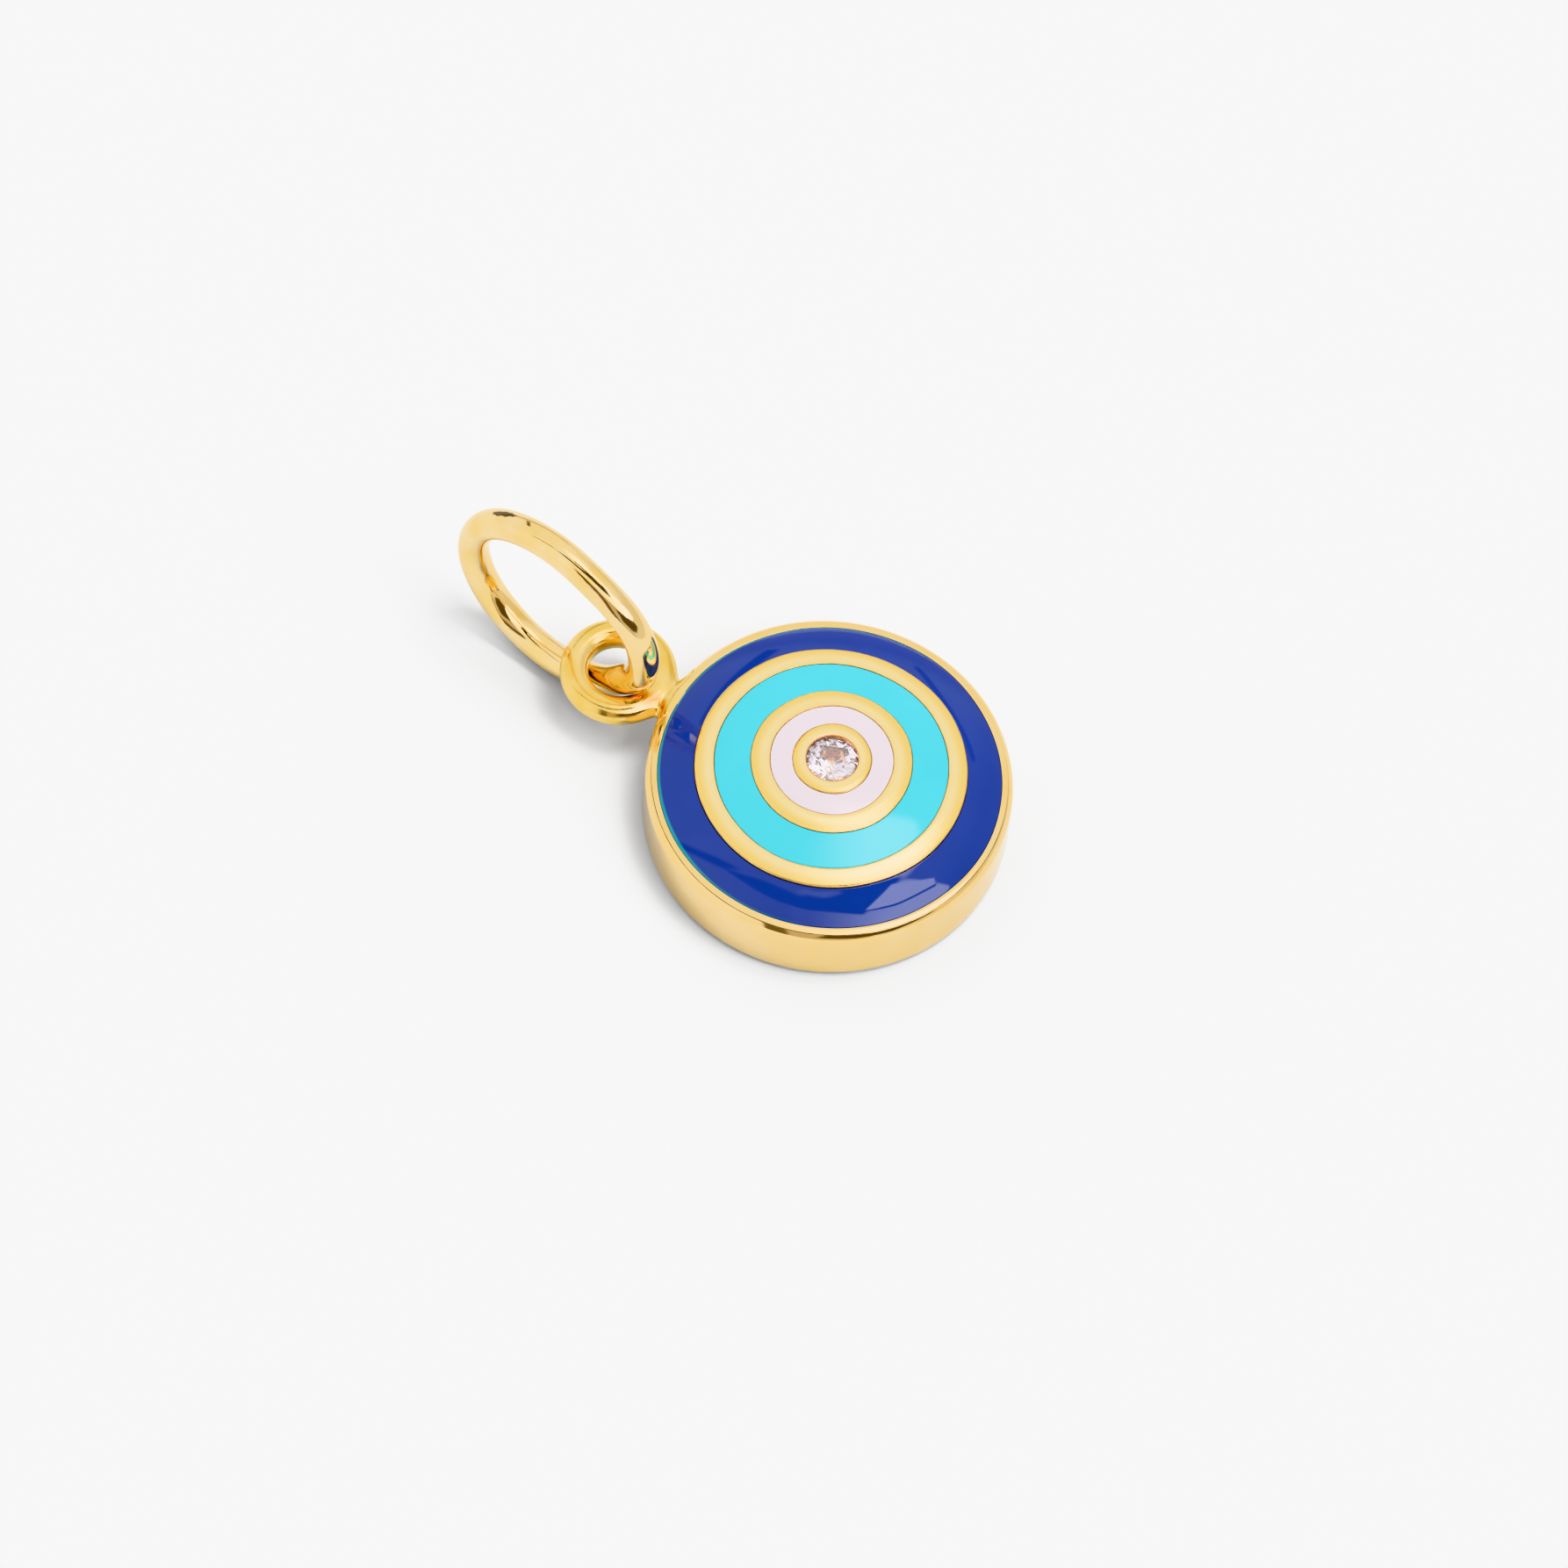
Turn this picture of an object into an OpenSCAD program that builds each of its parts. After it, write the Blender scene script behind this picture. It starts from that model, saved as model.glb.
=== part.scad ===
// Evil eye pendant: an enamelled gold disc with a domed face, a stone, a loop and a jump ring.
// It lies on its flat back. The origin is the centre of the back, the loop is on +Y and the face is up.

/* [Face, from the middle outwards] */
// Diameter of the stone at its girdle
stone_d = 1.8; // [1.2:0.05:2.6]
// How far the bezel's lip reaches over the stone's girdle
lip_over = 0.03; // [0.01:0.01:0.08]
// Width of the gold bezel round the stone
bezel_w = 0.46; // [0.3:0.02:0.8]
// Width of the pale pink enamel ring
pink_w = 0.75; // [0.4:0.05:1.2]
// Width of the inner gold ridge
inner_ridge_w = 0.63; // [0.3:0.03:1]
// Width of the turquoise enamel ring
turquoise_w = 1.22; // [0.6:0.02:1.8]
// Width of the outer gold ridge
outer_ridge_w = 0.64; // [0.3:0.02:1]
// Width of the navy enamel ring
navy_w = 1.21; // [0.6:0.01:1.8]
// Width of the flat gold rim round the navy ring
rim_w = 0.4; // [0.3:0.02:0.7]
// Rise of the domed face above the rim
dome_rise = 1.34; // [0.6:0.02:1.8]
// How far the crest of a ridge stands above the enamel beside it
ridge_proud = 0.06; // [0.02:0.01:0.12]
// Thickness of the enamel
enamel_t = 0.45; // [0.25:0.05:0.8]

/* [Disc] */
// Height of the rim above the back
disc_t = 2.55; // [2.5:0.05:3.2]
// Radius of the edge between the rim and the wall
shoulder_r = 0.16; // [0.06:0.02:0.25]
// Radius of the edge between the wall and the back
back_edge_r = 0.3; // [0.1:0.05:0.6]

/* [Stone] */
// Share of the stone's diameter that the table takes
table_share = 0.52; // [0.45:0.01:0.65]
// Share of the stone's diameter that the crown is high
crown_share = 0.15; // [0.1:0.01:0.18]
// Share of the stone's diameter that the pavilion is deep
pavilion_share = 0.43; // [0.38:0.01:0.46]
// Share of the pavilion that the lower facets reach down
lower_share = 0.78; // [0.7:0.01:0.85]
// Thickness of the girdle
girdle_t = 0.05; // [0.02:0.01:0.1]
// Depth of the table below the crest of the bezel
table_drop = 0.02; // [0:0.01:0.1]

/* [Loop on the disc] */
// Diameter of the loop's wire
loop_wire = 0.98; // [0.8:0.02:1.02]
// Inner diameter of the loop
loop_bore = 2; // [1.9:0.05:2.4]
// Space between the wall and the loop, which the solder fills
loop_gap = 0.03; // [0.02:0.01:0.2]
// Height of the rim above the top of the loop
loop_drop = 0.06; // [0:0.02:0.1]
// Radius of the solder's fillet between the wall and the loop
solder_r = 0.35; // [0.2:0.05:0.6]
// Thickness of the solder as a share of the loop's wire
solder_share = 0.8; // [0.5:0.05:0.9]

/* [Jump ring] */
// Diameter of the jump ring's wire
ring_wire = 1.08; // [0.8:0.02:1.12]
// Inner diameter of the round part of the jump ring
ring_bore = 5.84; // [5.4:0.02:6.2]
// How far the end towards the disc is pulled out of round, centre to centre
nose_pull = 1.4; // [0.8:0.05:1.6]
// Turn of the ring's plane away from the pendant's middle plane
ring_turn = 9.3; // [0:0.1:12]
// Sideways shift of the ring in the loop, as a share of the room that its wire leaves there
side_share = 0.8; // [0:0.05:0.8]

/* [Clearances] */
// Gap between the enamel and its channel, and between the stone and its seat
seat_gap = 0.012; // [0.01:0.002:0.03]
// Gap between the jump ring's wire and the far side of the loop, under which it passes
wire_gap = 0.06; // [0.04:0.01:0.1]
// Gap between the jump ring's wire and the near side of the loop, over which it passes
over_gap = 0.12; // [0.1:0.01:0.2]

/* [Hidden] */
$fn = 96;
// the dome's circle is far larger than the part of it that is used
dome_fn = 360;

// radii of the rings on the face
stone_r = stone_d / 2;
lip_r = stone_r - lip_over;
bezel_r = lip_r + bezel_w;
pink_r = bezel_r + pink_w;
inner_ridge_r = pink_r + inner_ridge_w;
turquoise_r = inner_ridge_r + turquoise_w;
outer_ridge_r = turquoise_r + outer_ridge_w;
navy_r = outer_ridge_r + navy_w;
disc_r = navy_r + rim_w;

// the dome is part of a sphere through the rim's inner edge
dome_r = (navy_r * navy_r + dome_rise * dome_rise) / (2 * dome_rise);
dome_mid_z = disc_t + dome_rise - dome_r;
function dome_z(r) = dome_mid_z + sqrt(dome_r * dome_r - r * r);
face_top = disc_t + dome_rise + ridge_proud;

// heights of the stone, counted up from its girdle
crown_h = crown_share * stone_d;
pavilion_h = pavilion_share * stone_d;
table_r = table_share * stone_r;
lower_r = (1 - lower_share) * stone_r;
bezel_crest_z = dome_z((lip_r + bezel_r) / 2) + ridge_proud;
table_z = bezel_crest_z - table_drop;
girdle_top_z = table_z - crown_h;
girdle_low_z = girdle_top_z - girdle_t;
culet_z = girdle_low_z - pavilion_h;

// the loop lies flat beside the wall, high enough for the jump ring's wire to pass under it
loop_r = (loop_bore + loop_wire) / 2;
loop_out_r = loop_r + loop_wire / 2;
loop_y = disc_r + loop_gap + loop_out_r;
loop_z = max(disc_t - loop_drop - loop_wire / 2, ring_wire + wire_gap + loop_wire / 2);

// the jump ring stands on its edge, with its lower side under the loop's far wire
ring_r = (ring_bore + ring_wire) / 2;
ring_mid_z = ring_r + ring_wire / 2;
wire_space = (ring_wire + loop_wire) / 2;
far_wire_run = sqrt(max(0, pow(ring_r - wire_space - wire_gap, 2) - pow(ring_mid_z - loop_z, 2)));
ring_side = side_share * ((loop_bore - ring_wire) / 2 - wire_gap);
half_chord = sqrt(loop_r * loop_r - ring_side * ring_side);
ring_run = half_chord + far_wire_run;
nose_side = [3 / 5, 4 / 5];
nose_r = ring_r - nose_pull * nose_side[0];
nose_flank = nose_pull * nose_side[1];

// the pulled end points up at the angle at which its arc clears the loop's near wire
near_wire = [ring_run + half_chord, loop_z - ring_mid_z];
near_run = norm(near_wire);
near_clear = nose_r + wire_space + over_gap;
nose_cos = (nose_pull * nose_pull + near_run * near_run - near_clear * near_clear)
    / (2 * nose_pull * near_run);
nose_up = acos(min(1, nose_cos)) + atan2(near_wire[1], near_wire[0]);

// centre of a fillet that touches the wall and the loop from outside
fillet_wall = disc_r + solder_r;
fillet_loop = loop_out_r + solder_r;
fillet_y = (fillet_wall * fillet_wall - fillet_loop * fillet_loop + loop_y * loop_y) / (2 * loop_y);
fillet_x = sqrt(fillet_wall * fillet_wall - fillet_y * fillet_y);

// section of the disc between two radii, from the back up to a sphere's outline
module slice_section(r_in, r_out, top_r) {
    intersection() {
        translate([0, dome_mid_z]) circle(top_r, $fn = dome_fn);
        translate([r_in, 0]) square([r_out - r_in, face_top]);
    }
}

// section of a layer between two radii and two spheres about the dome's middle
module band_section(r_in, r_out, top_r, low_r) {
    difference() {
        slice_section(r_in, r_out, top_r);
        translate([0, dome_mid_z]) circle(low_r, $fn = dome_fn);
    }
}

// section of a ridge: an arc that is level with the enamel at both edges and proud in the middle
module ridge_section(r_in, r_out) {
    half_w = (r_out - r_in) / 2;
    mid_r = (r_in + r_out) / 2;
    bulge = ridge_proud + half_w * half_w / (2 * dome_r);
    arc_r = (half_w * half_w + bulge * bulge) / (2 * bulge);
    tilt = asin(mid_r / dome_r);
    reach = dome_r + ridge_proud - arc_r;
    intersection() {
        translate([reach * sin(tilt), dome_mid_z + reach * cos(tilt)]) circle(arc_r);
        translate([r_in, dome_z(r_in) - enamel_t]) square([r_out - r_in, face_top]);
    }
}

// section of the plain disc with its rounded edges
module plate_section() {
    square([disc_r - back_edge_r, disc_t]);
    translate([0, back_edge_r]) square([disc_r - shoulder_r, disc_t - back_edge_r]);
    translate([0, back_edge_r]) square([disc_r, disc_t - back_edge_r - shoulder_r]);
    translate([disc_r - back_edge_r, back_edge_r]) circle(back_edge_r);
    translate([disc_r - shoulder_r, disc_t - shoulder_r]) circle(shoulder_r);
}

// section of the hollow that holds the stone, with the lip above its girdle
module seat_section() {
    slope = crown_h / (stone_r - table_r);
    polygon([
        [0, culet_z - seat_gap],
        [lower_r + seat_gap, culet_z - seat_gap],
        [stone_r + seat_gap, girdle_low_z - seat_gap],
        [stone_r + seat_gap, girdle_top_z + seat_gap],
        [lip_r, girdle_top_z + seat_gap + (lip_over + seat_gap) * slope],
        [lip_r, face_top],
        [0, face_top]
    ]);
}

// the gold of the disc, cut once for each enamel ring and for the stone
module gold_section() {
    floor_r = dome_r - enamel_t;
    difference() {
        union() {
            plate_section();
            slice_section(0, navy_r, dome_r);
            ridge_section(lip_r, bezel_r);
            ridge_section(pink_r, inner_ridge_r);
            ridge_section(turquoise_r, outer_ridge_r);
        }
        band_section(bezel_r, pink_r, dome_r + face_top, floor_r);
        band_section(inner_ridge_r, turquoise_r, dome_r + face_top, floor_r);
        band_section(outer_ridge_r, navy_r, dome_r + face_top, floor_r);
        seat_section();
    }
}

// solder between the wall and the loop, with a concave fillet on each side
module solder() {
    solder_t = solder_share * loop_wire;
    wall_x = fillet_x * disc_r / fillet_wall;
    wall_y = fillet_y * disc_r / fillet_wall;
    touch_x = fillet_x * loop_out_r / fillet_loop;
    touch_y = loop_y - (loop_y - fillet_y) * loop_out_r / fillet_loop;
    translate([0, 0, loop_z - solder_t / 2]) linear_extrude(solder_t) difference() {
        polygon([
            [-wall_x, wall_y], [-touch_x, touch_y], [0, loop_y], [touch_x, touch_y],
            [wall_x, wall_y], [0, disc_r - rim_w]
        ]);
        translate([0, loop_y]) circle(loop_r);
        translate([fillet_x, fillet_y]) circle(solder_r);
        translate([-fillet_x, fillet_y]) circle(solder_r);
    }
}

module pendant_body() {
    color("gold") union() {
        rotate_extrude() gold_section();
        translate([0, loop_y, loop_z]) rotate_extrude() translate([loop_r, 0]) circle(loop_wire / 2);
        solder();
    }
}

// one enamel ring, a gap smaller than its channel on every side
module enamel(r_in, r_out) {
    rotate_extrude() band_section(
        r_in + seat_gap, r_out - seat_gap, dome_r, dome_r - enamel_t + seat_gap
    );
}

module navy_enamel() {
    color("navy") enamel(outer_ridge_r, navy_r);
}

module turquoise_enamel() {
    color("turquoise") enamel(inner_ridge_r, turquoise_r);
}

module pink_enamel() {
    color("mistyrose") enamel(bezel_r, pink_r);
}

// round brilliant: table, 8 stars, 8 kites, 16 upper halves, girdle, 16 lower halves and 8 mains
module centre_stone() {
    sides = 8;
    step = 360 / sides;
    half = step / 2;
    star_r = (table_r * cos(half) + stone_r) / 2;
    star_z = crown_h * (stone_r - star_r * cos(half)) / (stone_r - table_r);
    lower_z = -girdle_t - pavilion_h * (stone_r - lower_r * cos(half)) / stone_r;
    function at(r, a, z) = [r * cos(a), r * sin(a), z];
    points = concat(
        [for (k = [0:sides - 1]) at(table_r, k * step, crown_h)],
        [for (k = [0:sides - 1]) at(star_r, k * step + half, star_z)],
        [for (k = [0:2 * sides - 1]) at(stone_r, k * half, 0)],
        [for (k = [0:2 * sides - 1]) at(stone_r, k * half, -girdle_t)],
        [for (k = [0:sides - 1]) at(lower_r, k * step + half, lower_z)],
        [[0, 0, -girdle_t - pavilion_h]]
    );
    star = sides;
    edge = 2 * sides;
    under = 4 * sides;
    lower = 6 * sides;
    culet = 7 * sides;
    function next(k) = (k + 1) % sides;
    function prev(k) = (k + sides - 1) % sides;
    function rim(k) = k % (2 * sides);
    faces = concat(
        [[for (k = [sides - 1:-1:0]) k]],
        [for (k = [0:sides - 1]) [k, next(k), star + k]],
        [for (k = [0:sides - 1]) [k, star + k, edge + 2 * k, star + prev(k)]],
        [for (k = [0:sides - 1]) [star + k, edge + 2 * k + 1, edge + 2 * k]],
        [for (k = [0:sides - 1]) [star + k, edge + rim(2 * k + 2), edge + 2 * k + 1]],
        [for (k = [0:2 * sides - 1]) [edge + k, edge + rim(k + 1), under + rim(k + 1), under + k]],
        [for (k = [0:sides - 1]) [under + 2 * k, under + 2 * k + 1, lower + k]],
        [for (k = [0:sides - 1]) [under + 2 * k + 1, under + rim(2 * k + 2), lower + k]],
        [for (k = [0:sides - 1]) [lower + prev(k), under + 2 * k, lower + k, culet]]
    );
    color("aliceblue") translate([0, 0, girdle_top_z]) polyhedron(points, faces);
}

// a whole ring of wire
module wire_ring(radius) {
    rotate_extrude() translate([radius, 0]) circle(ring_wire / 2);
}

// the sector in which the pulled end's own arc lies, large enough to pass the wire on every side
module nose_sector() {
    reach = 2 * ring_r;
    edge = reach * nose_side;
    linear_extrude(2 * ring_wire, center = true)
        polygon([[0, 0], [edge[0], -edge[1]], [2 * reach, -edge[1]], [2 * reach, edge[1]], edge]);
}

// the straight wire that joins the round part to the pulled end on one side
module wire_flank(side) {
    rotate([0, 0, side * atan2(nose_side[1], nose_side[0])]) translate([ring_r, 0, 0])
        rotate([side * 90, 0, 0]) cylinder(h = nose_flank, d = ring_wire);
}

// the ring in its own plane: x towards the disc and y upwards
module ring_wire_path() {
    rotate([0, 0, nose_up]) {
        difference() {
            wire_ring(ring_r);
            nose_sector();
        }
        translate([nose_pull, 0, 0]) intersection() {
            wire_ring(nose_r);
            nose_sector();
        }
        wire_flank(1);
        wire_flank(-1);
    }
}

module jump_ring() {
    color("gold") translate([0, loop_y, 0]) rotate([0, 0, -ring_turn])
        translate([-ring_side, ring_run, ring_mid_z])
            rotate([90, 0, -90]) ring_wire_path();
}

pendant_body();
navy_enamel();
turquoise_enamel();
pink_enamel();
centre_stone();
jump_ring();
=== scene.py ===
# Evil eye pendant: a gold disc with a domed enamel face and a stone, a soldered loop and a jump ring
import math
import bpy
import numpy as np
from mathutils import Matrix, Vector


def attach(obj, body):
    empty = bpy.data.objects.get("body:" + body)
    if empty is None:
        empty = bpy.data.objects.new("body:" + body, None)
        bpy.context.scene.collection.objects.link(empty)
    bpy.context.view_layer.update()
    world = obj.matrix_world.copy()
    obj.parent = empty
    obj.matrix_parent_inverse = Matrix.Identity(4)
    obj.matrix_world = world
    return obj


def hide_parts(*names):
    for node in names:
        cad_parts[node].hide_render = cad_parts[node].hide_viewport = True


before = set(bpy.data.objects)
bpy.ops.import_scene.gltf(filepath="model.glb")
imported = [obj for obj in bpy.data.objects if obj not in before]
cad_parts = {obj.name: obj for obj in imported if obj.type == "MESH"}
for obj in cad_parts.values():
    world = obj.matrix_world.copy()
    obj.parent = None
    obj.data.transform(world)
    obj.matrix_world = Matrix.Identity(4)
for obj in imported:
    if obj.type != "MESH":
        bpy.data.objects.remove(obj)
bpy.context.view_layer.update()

mm = 0.001

# Radii of the rings on the face, and the heights that the pieces share, in millimetres
face = {
    "stoneR": 0.9, "lipR": 0.87, "bezelR": 1.33, "pinkR": 2.08, "innerRidgeR": 2.71,
    "turquoiseR": 3.93, "outerRidgeR": 4.57, "navyR": 5.78, "discR": 6.18,
    "rimZ": 2.55, "domeRise": 1.34, "fuller": 0.5,
}
domeR = (face["navyR"] ** 2 + face["domeRise"] ** 2) / (2 * face["domeRise"])
domeMidZ = face["rimZ"] + face["domeRise"] - domeR

# Outer and inner radius of the two ridges and the bezel, from the rim inwards
ridges = [(face[outer], face[inner]) for outer, inner in (
    ("outerRidgeR", "turquoiseR"), ("innerRidgeR", "pinkR"), ("bezelR", "lipR"))]

# Hand work: each wave has its size, its turns round the disc, its start and how it leans along the radius
handWork = {
    "from": 1.0, "fadeIn": 0.5, "to": 5.95, "fadeOut": 0.15,
    "waves": [(0.016, 2, 0.8, 0.5), (0.010, 3, -0.9, 1.3), (0.007, 5, 2.1, -1.1), (0.004, 9, 0.0, 2.7)],
}


def domeZ(r):
    # height of the face at a distance r from the middle: a sphere, slightly fuller towards the rim,
    # where the fullness is fuller * t^2 * (1 - t) and t is the square of r over the navy ring's radius
    r = np.asarray(r, float)
    t = (r / face["navyR"]) ** 2
    return domeMidZ + np.sqrt(domeR ** 2 - r ** 2) + face["fuller"] * t * t * np.maximum(1 - t, 0)


def waver(r, angle):
    # the rings of the face waver a few hundredths of a millimetre in radius,
    # the wall and the stone's rim don't
    near = (np.clip((r - handWork["from"]) / handWork["fadeIn"], 0, 1)
            * np.clip((handWork["to"] - r) / handWork["fadeOut"], 0, 1))
    return near * sum(size * np.sin(turns * angle + start + lean * r)
                      for size, turns, start, lean in handWork["waves"])


def clearOldScene():
    # nothing of the start-up scene may stay in the picture
    for name in ("Cube", "Light", "Camera"):
        old = bpy.data.objects.get(name)
        if old:
            bpy.data.objects.remove(old, do_unlink=True)


def meshPiece(name, points, quads, tris=(), uv=None, zones=None, materials=(), normals=None):
    # points in millimetres become a smooth mesh at the origin; zones give each face its material
    mesh = bpy.data.meshes.new(name)
    faces = [list(f) for f in np.asarray(quads).tolist()] + [list(f) for f in np.asarray(tris).tolist()]
    mesh.from_pydata((np.asarray(points) * mm).tolist(), [], faces)
    mesh.polygons.foreach_set("use_smooth", np.ones(len(faces), bool))
    for material in materials:
        mesh.materials.append(material)
    if zones is not None:
        mesh.polygons.foreach_set("material_index", np.asarray(zones, np.int32))
    if uv is not None:
        corner = np.zeros(len(mesh.loops), np.int32)
        mesh.loops.foreach_get("vertex_index", corner)
        layer = mesh.uv_layers.new(name="along")
        layer.data.foreach_set("uv", np.asarray(uv, np.float32)[corner].ravel())
    mesh.update()
    if normals is not None:
        mesh.normals_split_custom_set_from_vertices(np.asarray(normals).tolist())
    piece = bpy.data.objects.new(name, mesh)
    bpy.context.collection.objects.link(piece)
    return piece


def gridQuads(rows, cols, wrapRows=False):
    # corners of the quads of a grid with its points in closed rows; the last row may meet the first
    i = np.arange(rows if wrapRows else rows - 1)[:, None]
    j = np.arange(cols)[None, :]
    nextI, nextJ = (i + 1) % rows, (j + 1) % cols
    corners = [i * cols + j, i * cols + nextJ, nextI * cols + nextJ, nextI * cols + j]
    return np.stack(corners, -1).reshape(-1, 4)


def roundedCorner(before, here, after, radius, steps=6):
    # two lines whose corner becomes an arc: it starts and ends radius / tan(half the corner) away
    before, here, after = (np.array(p, float) for p in (before, here, after))
    a, b = before - here, after - here
    lenA, lenB = np.linalg.norm(a), np.linalg.norm(b)
    a, b = a / lenA, b / lenB
    half = math.acos(np.clip(a @ b, -1, 1)) / 2
    cut = min(radius / math.tan(half), 0.49 * lenA, 0.49 * lenB)
    middle = here + (a + b) / np.linalg.norm(a + b) * cut / math.cos(half)
    start, end = here + a * cut - middle, here + b * cut - middle
    t = np.linspace(0, 1, steps)[:, None]
    turn = math.acos(np.clip(start @ end / (np.linalg.norm(start) * np.linalg.norm(end)), -1, 1))
    arc = middle + (np.sin((1 - t) * turn) * start + np.sin(t * turn) * end) / math.sin(turn)
    return np.concatenate([before[None], arc, after[None]])


def densePath(path, longest):
    # the same polyline with every stretch cut so that none is longer than a limit
    parts = []
    for a, b in zip(path[:-1], path[1:]):
        count = max(1, int(math.ceil(np.linalg.norm(b - a) / longest)))
        parts.append(a + (b - a) * (np.arange(count) / count)[:, None])
    return np.concatenate(parts + [path[-1:]])


def lathe(name, profile, around, materials, zoneOf=None, wobble=None, closed=False):
    # the profile (r, z) turned about Z; a closed profile is a ring, an open one ends in a pole at each end
    angle = np.arange(around) / around * 2 * math.pi
    body = profile if closed else profile[1:-1]
    r, z = body[:, 0][:, None], body[:, 1][:, None]
    if wobble is not None:
        r = r + wobble(r, angle[None, :])
    x, y = r * np.cos(angle), r * np.sin(angle)
    points = np.stack([x, y, z + 0 * x], -1).reshape(-1, 3)
    rows = len(body)
    quads = gridQuads(rows, around, wrapRows=closed)
    length = np.concatenate([[0], np.cumsum(np.linalg.norm(np.diff(body, axis=0), axis=1))])
    uv = np.stack(np.broadcast_arrays(angle[None, :] / (2 * math.pi), length[:, None]), -1).reshape(-1, 2)
    tris = np.zeros((0, 3), int)
    rowOfFace = np.repeat(np.arange(rows if closed else rows - 1), around)
    if not closed:
        j = np.arange(around)
        first, last = len(points), len(points) + 1
        points = np.concatenate([points, [[0, 0, profile[0, 1]], [0, 0, profile[-1, 1]]]])
        uv = np.concatenate([uv, [[0, 0], [0, length[-1]]]])
        top = (rows - 1) * around
        tris = np.concatenate([
            np.stack([np.full(around, first), (j + 1) % around, j], -1),
            np.stack([top + j, top + (j + 1) % around, np.full(around, last)], -1)])
        rowOfFace = np.concatenate([rowOfFace, np.zeros(around, int), np.full(around, rows - 2)])
    zones = None
    if zoneOf is not None:
        mid = (body + np.roll(body, -1, axis=0)) / 2
        zones = zoneOf(mid[:, 0], mid[:, 1])[rowOfFace]
    return meshPiece(name, points, quads, tris, uv, zones, materials)


# Materials

def newMaterial(name, **values):
    # a principled material whose constant numbers are set on the shader's own sockets
    material = bpy.data.materials.new(name)
    material.use_nodes = True
    shader = material.node_tree.nodes["Principled BSDF"]
    for key, value in values.items():
        shader.inputs[key].default_value = value
    return material, material.node_tree, shader


def addNode(tree, kind, **values):
    node = tree.nodes.new(kind)
    for key, value in values.items():
        setattr(node, key, value)
    return node


def noiseOf(tree, source, size, stretch=(1, 1, 1), rough=0.5):
    # noise on the piece's own coordinates: size is its scale and its detail, and an axis may be stretched
    mapping = addNode(tree, "ShaderNodeMapping")
    mapping.inputs["Scale"].default_value = stretch
    tree.links.new(source, mapping.inputs["Vector"])
    noise = addNode(tree, "ShaderNodeTexNoise")
    noise.inputs["Scale"].default_value, noise.inputs["Detail"].default_value = size
    noise.inputs["Roughness"].default_value = rough
    tree.links.new(mapping.outputs["Vector"], noise.inputs["Vector"])
    return noise.outputs["Fac"]


def rangeOf(tree, source, low, high, fromLow=0.3, fromHigh=0.7):
    # a straight change that stops at both ends; most of a noise lies between 0.3 and 0.7
    node = addNode(tree, "ShaderNodeMapRange")
    node.inputs["From Min"].default_value = fromLow
    node.inputs["From Max"].default_value = fromHigh
    node.inputs["To Min"].default_value = low
    node.inputs["To Max"].default_value = high
    tree.links.new(source, node.inputs["Value"])
    return node.outputs["Result"]


def mathOf(tree, operation, a, b=None, c=None, clamp=False):
    node = addNode(tree, "ShaderNodeMath", operation=operation, use_clamp=clamp)
    for slot, value in enumerate((a, b, c)):
        if value is None:
            continue
        if isinstance(value, (int, float)):
            node.inputs[slot].default_value = value
        else:
            tree.links.new(value, node.inputs[slot])
    return node.outputs[0]


def bumpOf(tree, height, size, before=None):
    # size is the bump's strength and its depth in metres
    bump = addNode(tree, "ShaderNodeBump")
    bump.inputs["Strength"].default_value, bump.inputs["Distance"].default_value = size
    tree.links.new(height, bump.inputs["Height"])
    if before is not None:
        tree.links.new(before, bump.inputs["Normal"])
    return bump.outputs["Normal"]


def mixColour(tree, factor, first, second):
    mix = addNode(tree, "ShaderNodeMix", data_type="RGBA")
    mix.inputs["A"].default_value = (*first, 1)
    mix.inputs["B"].default_value = (*second, 1)
    tree.links.new(factor, mix.inputs["Factor"])
    return mix.outputs["Result"]


def blendTo(tree, factor, colour, other):
    # from a colour that comes out of a node to a constant one
    mix = addNode(tree, "ShaderNodeMix", data_type="RGBA")
    tree.links.new(factor, mix.inputs["Factor"])
    tree.links.new(colour, mix.inputs["A"])
    mix.inputs["B"].default_value = (*other, 1)
    return mix.outputs["Result"]


def vectorOf(tree, operation, source, other=None, output="Value"):
    # a vector node on one source, with a constant second vector where it takes one
    node = addNode(tree, "ShaderNodeVectorMath", operation=operation)
    tree.links.new(source, node.inputs[0])
    if other is not None:
        node.inputs[1].default_value = other
    return node.outputs[output]


def objectPlace(tree):
    return addNode(tree, "ShaderNodeTexCoord").outputs["Object"]


def fromAxis(tree, where):
    # distance from the disc's axis, in millimetres
    return vectorOf(tree, "LENGTH", vectorOf(tree, "MULTIPLY", where, (1000, 1000, 0), "Vector"))


def lightPath(tree, kind):
    return addNode(tree, "ShaderNodeLightPath").outputs[kind]


def toneOf(tree, where, look):
    # clouds between a look's deeper and its lighter colour
    clouds = rangeOf(tree, noiseOf(tree, where, look["tone"]), 0, 1)
    return mixColour(tree, clouds, look["deep"], look["light"])


def hazeOf(tree, where, look, shader):
    # the roughness changes a little from place to place
    haze = rangeOf(tree, noiseOf(tree, where, look["haze"]), *look["rough"])
    tree.links.new(haze, shader.inputs["Roughness"])


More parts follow.
